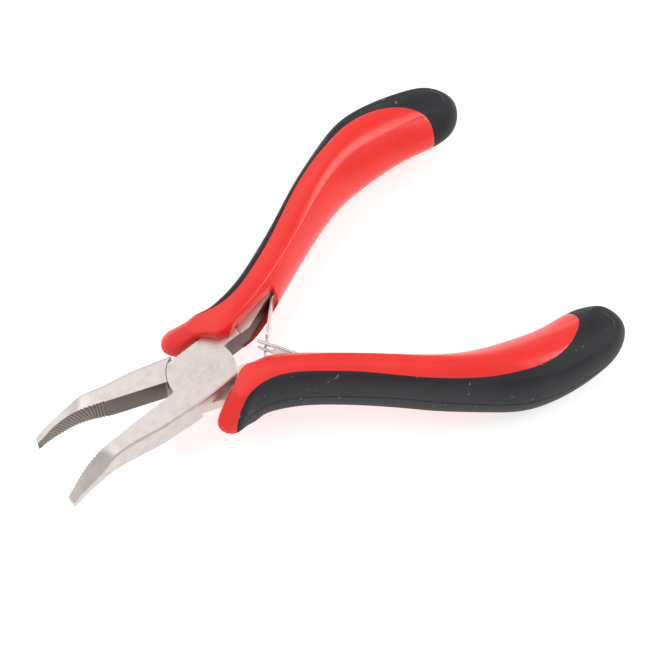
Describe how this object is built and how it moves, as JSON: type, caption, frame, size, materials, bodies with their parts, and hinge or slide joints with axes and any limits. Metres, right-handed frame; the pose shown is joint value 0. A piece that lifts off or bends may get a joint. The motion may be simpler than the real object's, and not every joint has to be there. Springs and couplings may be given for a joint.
{
  "type": "needle nose pliers",
  "caption": "Small needle nose pliers with jaws bent down at the tips, a lap joint, hooked leaf springs and red and black moulded grips.",
  "frame": {"origin": "on the pivot axis, in the top face of the joint", "axes": "+Z out of the joint's top face along the pivot axis, +X towards the handles along the middle line, jaws towards -X, lever A's handle towards +Y"},
  "size_m": [0.1226, 0.0836, 0.0149],
  "materials": {
    "lever_steel": "satin nickel plate over forged steel",
    "rivet_steel": "ground flush",
    "spring_steel": "bright rolled strip",
    "red_plastic": "satin moulded",
    "black_rubber": "matte moulded, finely grained"
  },
  "bodies": {
    "side_a": {"lever_a": "lever_steel", "pivot_rivet": "rivet_steel", "leaf_spring_a": "spring_steel", "spring_rivet_a": "rivet_steel", "grip_core_a": "red_plastic", "grip_cover_a": "black_rubber"},
    "side_b": {"lever_b": "lever_steel", "leaf_spring_b": "spring_steel", "spring_rivet_b": "rivet_steel", "grip_core_b": "red_plastic", "grip_cover_b": "black_rubber"}
  },
  "joints": [
    {"name": "pivot_hinge", "type": "hinge", "parent": "side_a", "child": "side_b", "pos_m": [0, 0, -0.0035], "axis": [0, 0, 1], "range_deg": [0, 22], "stiffness_Nm_per_rad": 1.2, "springref_deg": -5.73, "deforming": ["leaf_spring_a", "leaf_spring_b"]}
  ]
}
